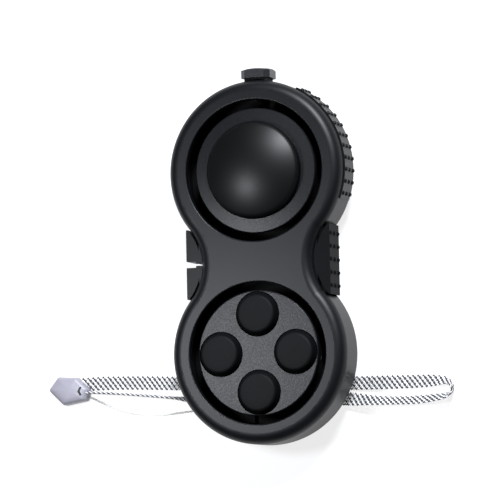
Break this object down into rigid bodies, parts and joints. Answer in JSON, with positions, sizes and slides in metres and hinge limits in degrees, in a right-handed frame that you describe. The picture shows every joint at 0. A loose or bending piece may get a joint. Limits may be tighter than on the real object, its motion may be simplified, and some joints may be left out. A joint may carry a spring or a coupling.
{
  "type": "handheld fidget pad",
  "caption": "Game-controller-shaped fidget pad with thumb stick, push buttons, side triggers, side pad, top toggle, back dial and a woven wrist strap.",
  "frame": {"origin": "middle of the device's footprint (without its strap), on the surface it lies on", "axes": "+Z out of the front face, +Y along the long axis towards the thumb stick and the toggle, +X to the right seen from the front"},
  "size_m": [0.0905, 0.0796, 0.0164],
  "materials": {
    "shell_abs": "black moulded ABS, fine satin texture",
    "inner_abs": "black moulded ABS, smooth",
    "plate_abs": "charcoal moulded ABS, fine spark texture",
    "disc_abs": "charcoal moulded ABS, fine spark texture",
    "thumb_rubber": "soft matte black rubber",
    "button_rubber": "soft matte black rubber",
    "grip_rubber": "black rubber with moulded bumps",
    "trigger_abs": "black moulded plastic, ribbed",
    "pad_rubber": "black rubber, stippled",
    "dome_silicone": "translucent silicone",
    "pin_steel": "ground steel pin",
    "spring_steel": "spring steel wire and strip",
    "gimbal_zinc": "die-cast zinc",
    "screw_steel": "blackened steel screw",
    "foot_rubber": "black rubber",
    "band_weave": "grey and white braided polyester",
    "string_nylon": "off-white nylon string",
    "clasp_plastic": "pale violet-grey plastic",
    "insert_plastic": "black plastic"
  },
  "bodies": {
    "casing": {"front_shell": "shell_abs", "back_shell": "shell_abs", "grip_strip": "grip_rubber", "shell_screws": "screw_steel", "stick_frame": "inner_abs", "stick_spring": "spring_steel", "button_plate": "plate_abs", "button_base": "inner_abs", "dome_up": "dome_silicone", "dome_down": "dome_silicone", "dome_left": "dome_silicone", "dome_right": "dome_silicone", "trigger_pins": "pin_steel", "trigger_leaf_spring": "spring_steel", "pad_guide_pins": "pin_steel", "pad_spring": "spring_steel", "toggle_pin": "pin_steel", "toggle_detent": "spring_steel", "dial_retainer": "inner_abs", "dial_screw": "screw_steel", "foot_pads": "foot_rubber", "lanyard_bar": "pin_steel", "strap_band": "band_weave", "strap_string": "string_nylon", "strap_clasp": "clasp_plastic", "clasp_insert": "insert_plastic", "string_knot": "string_nylon"},
    "stick_gimbal": {"stick_gimbal": "gimbal_zinc", "gimbal_cross_pin": "pin_steel"},
    "stick": {"stick_disc": "disc_abs", "thumb_cap": "thumb_rubber"},
    "button_up": {"button_up": "button_rubber"},
    "button_down": {"button_down": "button_rubber"},
    "button_left": {"button_left": "button_rubber"},
    "button_right": {"button_right": "button_rubber"},
    "trigger_upper": {"trigger_upper": "trigger_abs"},
    "trigger_lower": {"trigger_lower": "trigger_abs"},
    "side_pad": {"side_pad": "pad_rubber"},
    "toggle": {"toggle_lever": "inner_abs", "toggle_cap": "thumb_rubber"},
    "dial": {"back_dial": "inner_abs"}
  },
  "joints": [
    {"name": "stick_tilt_y", "type": "hinge", "parent": "casing", "child": "stick_gimbal", "pos_m": [0, 0.01798, 0.006], "axis": [1, 0, 0], "range_deg": [-10, 10], "stiffness_Nm_per_rad": 0.02, "deforming": ["stick_spring"]},
    {"name": "stick_tilt_x", "type": "hinge", "parent": "stick_gimbal", "child": "stick", "pos_m": [0, 0.01798, 0.006], "axis": [0, 1, 0], "range_deg": [-10, 10], "stiffness_Nm_per_rad": 0.02},
    {"name": "up_press", "type": "slide", "parent": "casing", "child": "button_up", "axis": [0, 0, -1], "range_m": [0, 0.0012], "stiffness_N_per_m": 400, "springref_m": -0.0002, "deforming": ["dome_up"]},
    {"name": "down_press", "type": "slide", "parent": "casing", "child": "button_down", "axis": [0, 0, -1], "range_m": [0, 0.0012], "stiffness_N_per_m": 400, "springref_m": -0.0002, "deforming": ["dome_down"]},
    {"name": "left_press", "type": "slide", "parent": "casing", "child": "button_left", "axis": [0, 0, -1], "range_m": [0, 0.0012], "stiffness_N_per_m": 400, "springref_m": -0.0002, "deforming": ["dome_left"]},
    {"name": "right_press", "type": "slide", "parent": "casing", "child": "button_right", "axis": [0, 0, -1], "range_m": [0, 0.0012], "stiffness_N_per_m": 400, "springref_m": -0.0002, "deforming": ["dome_right"]},
    {"name": "trigger_upper_press", "type": "hinge", "parent": "casing", "child": "trigger_upper", "pos_m": [-0.0112, 0.00507, 0.0075], "axis": [0, 0, 1], "range_deg": [0, 6], "stiffness_Nm_per_rad": 0.02, "deforming": ["trigger_leaf_spring"]},
    {"name": "trigger_lower_press", "type": "hinge", "parent": "casing", "child": "trigger_lower", "pos_m": [-0.0112, -0.00773, 0.0075], "axis": [0, 0, -1], "range_deg": [0, 6], "stiffness_Nm_per_rad": 0.02},
    {"name": "side_pad_press", "type": "slide", "parent": "casing", "child": "side_pad", "axis": [-1, 0, 0], "range_m": [0, 0.001], "stiffness_N_per_m": 400, "springref_m": -0.0002, "deforming": ["pad_spring"]},
    {"name": "toggle_flick", "type": "hinge", "parent": "casing", "child": "toggle", "pos_m": [0, 0.03397, 0.0082], "axis": [0, 0, 1], "range_deg": [-12, 12]},
    {"name": "dial_turn", "type": "hinge", "parent": "casing", "child": "dial", "pos_m": [0, 0.01798, 0.0007], "axis": [0, 0, 1], "continuous": true}
  ]
}
